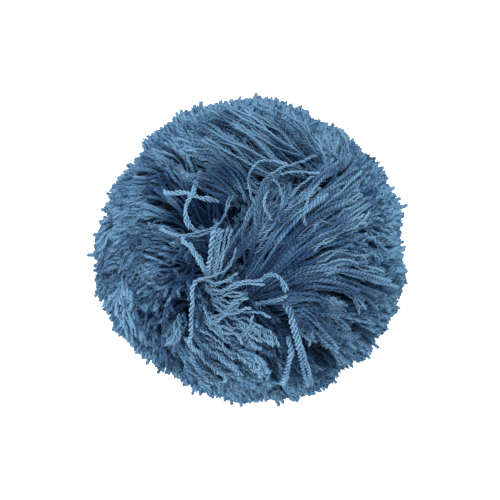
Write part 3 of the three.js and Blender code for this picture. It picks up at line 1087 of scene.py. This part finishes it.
class POMPOM_OT_core(Operator):
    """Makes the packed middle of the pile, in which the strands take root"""

    bl_idname = "pompom.core"
    bl_label = "Packed Middle"

    def execute(self, context):
        scene = context.scene
        shape = scene.pompom_shape
        random = np.random.default_rng(shape.seed)
        half = half_sizes(shape) * shape.core_share
        bpy.ops.mesh.primitive_ico_sphere_add(subdivisions=5, radius=1)
        piece = context.object
        mesh = piece.data
        mesh.name = piece.name = "packed_middle"
        points = np.array([vertex.co for vertex in mesh.vertices])
        lumps = sum(
            np.sin(points @ random.normal(0, rate, 3) + random.uniform(0, 6)) / rate
            for rate in LUMP_RATES
        )
        points = points * half * (1 + LUMP_SIZE * lumps[:, None])
        points += np.array(shape.heart_offset) * CORE_SHIFT
        points[:, 2] += shape.centre_height
        mesh.vertices.foreach_set("co", points.astype(np.float32).ravel())
        mesh.shade_smooth()
        mesh.update()
        dress(piece, painted_shade_core_material(scene.pompom_colours))
        return {"FINISHED"}


def strand_radii(along, thickness, count, random):
    """A strand's half thickness, which swells a little where its cut end frays."""
    swell = 1 + SWELL * np.clip((along - SWELL_FROM) / (1 - SWELL_FROM), 0, 1)
    return thickness / 2 * swell * random.uniform(THINNEST, THICKEST, (count, 1))


def uneven(base, spreads, groups, axes, random):
    """Adds what differs between tufts, then between their bunches, then between strands."""
    for spread, (count, members) in zip(spreads, groups):
        base = base + random.normal(0, spread, (count, *axes))[members]
    return base


class Pile:
    """Where each strand of the pile ends and starts, how far it reaches and what it belongs to."""

    def __init__(self, shape, yarn, random):
        self.comb = Comb(shape)
        self.tips = self.spread_tips(yarn.strands, random)
        count = len(self.tips)
        roots = self.comb.roots(self.tips)
        self.tufts = nearest(self.tips, even_directions(yarn.tufts, TUFT_STRAY, random))
        self.bunches = nearest(self.tips, even_directions(yarn.bunches, BUNCH_STRAY, random))
        groups = (yarn.tufts, self.tufts), (yarn.bunches, self.bunches), (count, np.arange(count))
        stray = uneven(0, WAY_SPREAD, groups, (3,), random)
        share = uneven(REACH, REACH_SPREAD, groups, (), random)
        # Painted light: strands near the outline are lighter
        rim = PAINTED_RIM_LIGHT * np.exp(-(((self.tips[:, 2] - RIM_HEIGHT) / RIM_REACH) ** 2))
        self.tones = np.clip(uneven(TONE + rim, TONE_SPREAD, groups, (), random), 0, 1)
        self.covered = self.comb.is_open(self.tips, True)
        crown, _ = place_around(self.comb.partings[0], self.tips)
        drop = np.exp(-((crown / CROWN_REACH) ** 2)) + self.covered
        self.share = np.minimum(share, LONGEST_REACH) - shape.crown_drop * drop
        self.roots = unit(roots + random.normal(0, ROOT_STRAY, roots.shape))
        self.ends = unit(self.tips + stray)
        self.tuft_pulls = random.uniform(*TUFT_PULL, yarn.tufts)
        self.bunch_pulls = random.uniform(*BUNCH_PULL, yarn.bunches)
        self.leans = uneven(0, LEAN_SPREAD, groups, (2,), random)

    def spread_tips(self, count, random):
        """Tips spread evenly over the ball, but for the open partings, with fewer of them under
        the crown's locks and on the underside."""
        tips = even_directions(count, TIP_STRAY, random)
        below = (tips[:, 2] < UNDERSIDE) & (random.uniform(0, 1, count) > UNDERSIDE_SHARE)
        crown = self.comb.is_open(tips, True) & (random.uniform(0, 1, count) > CROWN_SHARE)
        return tips[~self.comb.is_open(tips, False) & ~below & ~crown]

    def kinds(self):
        """Which strands are long ones combed over, which stand up, and which are below."""
        lean = np.arccos(np.clip(dot(self.tips, self.roots), -1, 1))
        combed = ~self.covered & (lean > COMBED_FROM)
        upper = ~combed & (self.tips[:, 2] > 0)
        return combed, upper, ~combed & ~upper

    def paths(self, chosen, along):
        """The middle lines of some of the strands."""
        centre = self.comb.shape.centre_height
        paths = self.comb.paths(self.ends[chosen], self.roots[chosen], self.share[chosen], along)
        paths = swept(paths, along, centre, self.leans[chosen])
        paths = lobed(paths, along, centre)
        for groups, pulls in ((self.tufts, self.tuft_pulls), (self.bunches, self.bunch_pulls)):
            paths = gathered(paths, groups[chosen], len(pulls), pulls, along)
        return paths


PileRow = namedtuple("PileRow", "name start rings parts")

# The kinds of strands in the pile: the share of their length from which they are made, in how
# many rings, and the number of pieces that they are split into.
PILE = (
    PileRow("combed_pile", 0.25, 11, 4),
    PileRow("upper_pile", 0.45, 9, 3),
    PileRow("lower_pile", 0.5, 5, 3),
)


class POMPOM_OT_pile(Operator):
    """Makes the whole pile: cut strands on all sides, longer ones where it is combed over"""

    bl_idname = "pompom.pile"
    bl_label = "Pile"

    def execute(self, context):
        scene = context.scene
        yarn = scene.pompom_yarn
        random = np.random.default_rng(scene.pompom_shape.seed + 1)
        pile = Pile(scene.pompom_shape, yarn, random)
        material = yarn_material("cut_yarn", scene.pompom_colours, plies=0.6)
        for row, chosen in zip(PILE, pile.kinds()):
            along = row.start + (1 - row.start) * np.linspace(0, 1, row.rings) ** RING_POWER
            paths = pile.paths(chosen, along)
            kept = ~in_pit(paths)
            paths = wobbled(paths[kept], PILE_WOBBLE, random)
            paths[..., 2] = np.maximum(paths[..., 2], 0.5 * yarn.thickness)
            laid_paths.append(resampled(paths[:, -(row.rings // 2):], FUZZ_STEPS))
            radii = strand_radii(along, yarn.thickness, len(paths), random)
            tones = pile.tones[chosen][kept]
            order = np.argsort(pile.tufts[chosen][kept], kind="stable")
            for part, some in enumerate(np.array_split(order, row.parts)):
                name = f"{row.name}_{part + 1}"
                mesh = tube_mesh(name, paths[some], radii[some], yarn.ply_pitch, tones[some])
                add_piece(mesh, material)
        return {"FINISHED"}


def through(points, count):
    """A smooth curve through the points, as evenly spaced points."""
    points = np.array(points, float)
    ends = 2 * points[0] - points[1], 2 * points[-1] - points[-2]
    held = np.vstack([ends[0], points, ends[1]])
    place = np.linspace(0, len(points) - 1, count * 3)
    first = np.minimum(place.astype(int), len(points) - 2)
    share = (place - first)[:, None]
    before, here, there, after = (held[first + step] for step in range(4))
    curve = (
        2 * here
        + (there - before) * share
        + (2 * before - 5 * here + 4 * there - after) * share**2
        + (3 * here - before - 3 * there + after) * share**3
    ) / 2
    return resampled(curve[None], count)[0]


class Dome:
    """The upper side of the ball, as the camera sees it."""

    def __init__(self, shape, stage):
        self.half = half_sizes(shape) * (1, 1, 1 - shape.crown_drop / 2)
        self.centre = shape.centre_height
        self.distance = camera_distance(stage)

    def place(self, points):
        """Points in space from x, y as seen from above and the height over the surface."""
        seen = points[:, :2] * MM
        height = np.zeros(len(points))
        for _ in range(4):  # each round comes closer to where the camera sees the point
            plan = seen * (1 - height / self.distance)[:, None]
            out = np.minimum(np.linalg.norm(plan / self.half[:2], axis=1), SURFACE)
            lift = points[:, 2] * np.where(points[:, 2] > 0, LIFT_SHARE, 1) * MM
            height = self.half[2] * np.sqrt(1 - out**2) + lift
        return np.column_stack([plan, height + self.centre])

    def upward(self, points):
        """The direction away from the ball's middle at each point."""
        return unit((points - np.array([0, 0, self.centre])) / self.half**2)


def camera_distance(stage):
    """How far the camera is from the ball's middle, for the view's width."""
    return stage.view_width * stage.lens / SENSOR_WIDTH


def spaced(count, random):
    """Places from -1 to 1, evenly spaced in random order and a little uneven."""
    even = (random.permutation(count) + 0.5) / count * 2 - 1
    return even + random.normal(0, 0.3 / count, count)


def sway(count, waves, size, place, random):
    """A slow sideways swing along each of some strands, in both directions across it."""
    phase = random.uniform(0, FULL_TURN, (2, count, 1))
    rate = random.uniform(0.7, 1.3, (2, count, 1)) * waves * FULL_TURN
    swing = np.sin(rate * place + phase) - np.sin(phase)
    return swing * random.normal(0, size, (2, count, 1))


def smooth_kinks(shape, random):
    """Small random bends along strands, each over a few points."""
    bends = random.normal(0, 1, shape)
    for _ in range(2):
        bends[:, 1:-1] = (bends[:, :-2] + 2 * bends[:, 1:-1] + bends[:, 2:]) / 4
    return bends


def inner_twist(count, place, last, random):
    """Where the strands lie inside their bunch, which turns slowly and narrows at its tip."""
    share = np.clip(place / last[:, None], 0, 1)
    belly = 0.4 + 0.8 * np.sin(math.pi * share**0.9)
    size = np.abs(random.normal(0, BUNCH_RADIUS, (count, 1))) * belly
    turn = random.uniform(0, FULL_TURN, (count, 1)) + BUNCH_TWIST * place
    return np.stack([size * np.cos(turn), size * np.sin(turn)])


Lie = namedtuple("Lie", "first last across lift drift swing")


def bunched_lie(count, bunches, place, random):
    """How the strands of a lock lie in their bunches: where each starts and ends, how far it
    lies across the lock and above it, how it drifts to a side, and its swing."""
    bunch = np.arange(count) % bunches
    first = random.uniform(0, BUNCH_START, bunches)[bunch] ** START_POWER
    last = random.uniform(*BUNCH_END, bunches)[bunch] + random.uniform(*STRAND_END, count)
    across = spaced(bunches, random)[bunch]
    lift = random.normal(0, BUNCH_LIFT, bunches)[bunch]
    stray = np.clip(random.standard_t(2, count) * STRAND_STRAY, -STRAY_MOST, STRAY_MOST)
    drift = random.normal(0, BUNCH_DRIFT, bunches)[bunch] + stray
    swing = sway(bunches, *BUNCH_SWAY, place, random)[:, bunch]
    return Lie(first, last, across, lift, drift, swing + inner_twist(count, place, last, random))


def single_lie(count, width, place, random):
    """The same for a few strands. One or two keep to their points."""
    across = spaced(count, random) if count > 1 else np.zeros(count)
    lift = random.normal(0, FEW_SPREAD, count)
    drift = random.normal(0, FEW_SPREAD, count)
    first, last = np.zeros(count), np.ones(count)
    if count <= 2:
        return Lie(first, last, across, lift, 0 * drift, np.zeros((2, count, len(place))))
    last = 1 - random.uniform(0, FEW_SPREAD, count)
    waves, size = FEW_SWAY
    return Lie(first, last, across, lift, drift, sway(count, waves, size * width, place, random))


def lock_paths(row, dome, rings, random):
    """The middle lines of one lock's strands, from the points of its row."""
    middle = dome.place(through(row.points, rings * 3))
    upward = dome.upward(middle)
    sideways = unit(np.cross(np.gradient(middle, axis=0), upward))
    count = row.strands
    place = np.linspace(0, 1, rings * 3)
    narrow = min(1.0, row.width)
    bunches = round(count / LOCK_BUNCH)
    if bunches > 2:
        lie = bunched_lie(count, bunches, place, random)
    else:
        lie = single_lie(count, narrow, place, random)
    waves, size = STRAND_SWAY
    swing = lie.swing + sway(count, waves, size * narrow, place, random)
    width = (row.width + (row.spread - row.width) * place) * MM
    side_step = width * (lie.across[:, None] + lie.drift[:, None] * place**DRIFT_POWER) + swing[0]
    up_step = width * lie.lift[:, None] + swing[1]
    paths = middle + side_step[..., None] * sideways + up_step[..., None] * upward
    wanted = lie.first[:, None] + (lie.last - lie.first)[:, None] * np.linspace(0, 1, rings)
    return picked(paths, np.broadcast_to(place, (count, len(place))), wanted)


class POMPOM_OT_locks(Operator):
    """Makes the long locks that are combed over the crown, each from its row of points"""

    bl_idname = "pompom.locks"
    bl_label = "Combed Locks"

    def execute(self, context):
        scene = context.scene
        yarn = scene.pompom_yarn
        random = np.random.default_rng(scene.pompom_shape.seed + 2)
        dome = Dome(scene.pompom_shape, scene.pompom_stage)
        bunch_spread, strand_spread = LOCK_TONE_SPREAD
        paths, tones = [], []
        for row in LOCKS:
            paths.append(lock_paths(row, dome, LOCK_RINGS, random))
            bunch = np.arange(row.strands) % round(row.strands / LOCK_BUNCH)
            tone = random.normal(LOCK_TONE, bunch_spread, row.strands)[bunch]
            tones.append(np.clip(tone + random.normal(0, strand_spread, row.strands), 0, 1))
        paths = wobbled(np.concatenate(paths), LOCK_WOBBLE, random)
        paths += random.normal(0, KINK, paths.shape)
        tones = np.concatenate(tones)
        laid_paths.extend([resampled(paths[:, LOCK_RINGS // 3:], FUZZ_STEPS)] * LOCK_FUZZ)
        along = np.linspace(0, 1, LOCK_RINGS)
        radii = strand_radii(along, yarn.thickness * LOCK_THICK, len(paths), random)
        radii *= np.repeat([row.thick for row in LOCKS], [row.strands for row in LOCKS])[:, None]
        mesh = tube_mesh("combed_locks", paths, radii, yarn.ply_pitch, tones)
        add_piece(mesh, yarn_material("combed_yarn", scene.pompom_colours, plies=0.8))
        return {"FINISHED"}


FibreRow = namedtuple("FibreRow", "name count below shortest longest")


class POMPOM_OT_fuzz(Operator):
    """Makes the fine fibres that stand off the strands"""

    bl_idname = "pompom.fuzz"
    bl_label = "Fuzz"

    def execute(self, context):
        scene = context.scene
        yarn = scene.pompom_yarn
        random = np.random.default_rng(scene.pompom_shape.seed + 4)
        paths = np.concatenate(laid_paths)
        seen = paths[:, -1, 2] > scene.pompom_shape.centre_height * FUZZY_FROM
        colours = scene.pompom_colours
        material = yarn_material("loose_fibre", colours, plies=0.0, lit=colours.fibre)
        kinds = (
            FibreRow("fuzz", yarn.fibres, 0.4, 0.9, 3.2),
            FibreRow("wisps", yarn.wisps, 0.0, 1.8, 4.5),
        )
        for row in kinds:
            chance = np.where(seen, 1.0, row.below)
            chosen = random.choice(len(paths), row.count, p=chance / chance.sum())
            strand = paths[chosen]
            step = random.integers(1, strand.shape[1], row.count)
            rows = np.arange(row.count)
            here, before = strand[rows, step], strand[rows, step - 1]
            roots = before + (here - before) * random.uniform(0, 1, (row.count, 1))
            away = unit(random.normal(0, 1, roots.shape))
            way = unit(unit(here - before) * random.uniform(*FIBRE_LEAN, (row.count, 1)) + away)
            ends = roots + way * random.uniform(row.shortest, row.longest, (row.count, 1)) * MM
            ends[:, 2] = np.maximum(ends[:, 2], 0.1 * MM)
            tones = random.uniform(*FIBRE_TONE, row.count)
            add_piece(needle_mesh(row.name, roots, ends, yarn.fibre_thickness, tones), material)
        return {"FINISHED"}


class POMPOM_OT_loose(Operator):
    """Makes the loose strands on top, with both plies twisted round each other"""

    bl_idname = "pompom.loose"
    bl_label = "Loose Strands"

    def execute(self, context):
        scene = context.scene
        yarn = scene.pompom_yarn
        random = np.random.default_rng(scene.pompom_shape.seed + 3)
        dome = Dome(scene.pompom_shape, scene.pompom_stage)
        colours = scene.pompom_colours
        material = yarn_material("twisted_yarn", colours, plies=0.4, lit=colours.crest)
        for row in LOOSE_STRANDS:
            length = lengths_along(dome.place(through(row.points, 60))[None])[0, -1]
            rings = math.ceil(length / PLY_STEP)
            paths = wobbled(lock_paths(row, dome, rings, random), LOOSE_WOBBLE, random)
            paths += smooth_kinks(paths.shape, random) * KINK * 2
            laid_paths.extend([resampled(paths, FUZZ_STEPS)] * LOOSE_FUZZ)
            side, square = frames_along(paths)
            thickness = yarn.thickness * row.thick
            turned = FULL_TURN * lengths_along(paths) / (PLY_PITCH_LOOSE * math.sqrt(row.thick))
            turned = turned + random.uniform(0, FULL_TURN, (row.strands, 1))
            plies = []
            for turn in (turned, turned + math.pi):
                away = np.cos(turn)[..., None] * side + np.sin(turn)[..., None] * square
                plies.append(paths + away * thickness * PLY_AWAY)
            plies = np.concatenate(plies)
            middles = np.concatenate([paths, paths])
            tones = random.normal(LOOSE_TONE, LOOSE_TONE_SPREAD, len(plies))
            tones = np.clip(tones, 0, 1)
            along = np.linspace(0, 1, rings)
            radii = strand_radii(along, thickness * PLY_THICK, len(plies), random)
            name = row.name.replace(" ", "_")
            mesh = tube_mesh(name, plies, radii, yarn.ply_pitch, tones, middles)
            add_piece(mesh, material)
        return {"FINISHED"}


def table_material(name, colour, roughness):
    draw = Shading(name)
    place = draw.add("ShaderNodeTexCoord", 3)
    grain = draw.noise(place, 30.0, 3.0)
    shade = draw.mixed(grain, tuple(0.985 * part for part in colour), colour)
    draw.tree.links.new(shade, draw.shader.inputs["Base Color"])
    draw.shader.inputs["Roughness"].default_value = roughness
    draw.shader.inputs["Emission Color"].default_value = (1, 1, 1, 1)
    draw.shader.inputs["Emission Strength"].default_value = TABLE_GLOW
    return draw.material


def add_lamp(name, place, aim, size, power):
    data = bpy.data.lights.new(name, "AREA")
    data.shape = "DISK"
    data.size = size
    data.energy = power
    lamp = bpy.data.objects.new(name, data)
    lamp.location = place
    way = np.array(aim) - np.array(place)
    lamp.rotation_euler = (
        math.atan2(math.hypot(way[0], way[1]), -way[2]),
        0,
        math.atan2(-way[0], way[1]),
    )
    bpy.context.scene.collection.objects.link(lamp)


class POMPOM_OT_stage(Operator):
    """Makes the pale table, the soft studio light and the camera, which looks straight down"""

    bl_idname = "pompom.stage"
    bl_label = "Stage"

    def execute(self, context):
        scene = context.scene
        stage, shape = scene.pompom_stage, scene.pompom_shape
        bpy.ops.mesh.primitive_plane_add(size=TABLE_SIZE)
        table = context.object
        table.name = "table"
        table.data.materials.append(table_material("table", scene.pompom_colours.table, 0.9))
        middle = (0, 0, shape.centre_height)
        add_lamp("key", KEY_PLACE, middle, KEY_SIZE, stage.key_power)
        add_lamp("fill", FILL_PLACE, middle, FILL_SIZE, stage.fill_power)
        world = bpy.data.worlds.new("sky")
        world.use_nodes = True
        sky = world.node_tree.nodes["Background"].inputs
        sky["Color"].default_value = SKY_COLOUR
        sky["Strength"].default_value = stage.sky
        scene.world = world
        data = bpy.data.cameras.new("camera")
        data.lens, data.sensor_width = stage.lens, SENSOR_WIDTH
        data.clip_start, data.clip_end = NEAREST_SEEN, FARTHEST_SEEN
        camera = bpy.data.objects.new("camera", data)
        camera.location = (0, 0, shape.centre_height + camera_distance(stage))
        scene.collection.objects.link(camera)
        scene.camera = camera
        scene.view_settings.view_transform = "Standard"
        return {"FINISHED"}


class POMPOM_PT_panel(Panel):
    """Lists the pompom's pieces in the order in which they are made"""

    bl_idname = "POMPOM_PT_panel"
    bl_label = "Yarn Pompom"
    bl_space_type = "VIEW_3D"
    bl_region_type = "UI"
    bl_category = "Pompom"

    def draw(self, context):
        for name, group in GROUPS.items():
            box = self.layout.box()
            for setting in group.__annotations__:
                box.prop(getattr(context.scene, name), setting)
        for step in STEPS:
            self.layout.operator(step.bl_idname)


GROUPS = {
    "pompom_shape": PompomShape,
    "pompom_yarn": PompomYarn,
    "pompom_colours": PompomColours,
    "pompom_stage": PompomStage,
}
STEPS = (
    POMPOM_OT_stage,
    POMPOM_OT_core,
    POMPOM_OT_pile,
    POMPOM_OT_locks,
    POMPOM_OT_loose,
    POMPOM_OT_fuzz,
)
CLASSES = (*GROUPS.values(), *STEPS, POMPOM_PT_panel)


def register():
    for cls in CLASSES:
        bpy.utils.register_class(cls)
    for name, group in GROUPS.items():
        setattr(bpy.types.Scene, name, PointerProperty(type=group))


def unregister():
    for name in GROUPS:
        delattr(bpy.types.Scene, name)
    for cls in reversed(CLASSES):
        bpy.utils.unregister_class(cls)


def main():
    register()
    for step in STEPS:
        group, name = step.bl_idname.split(".")
        getattr(getattr(bpy.ops, group), name)()


if __name__ == "__main__":
    main()
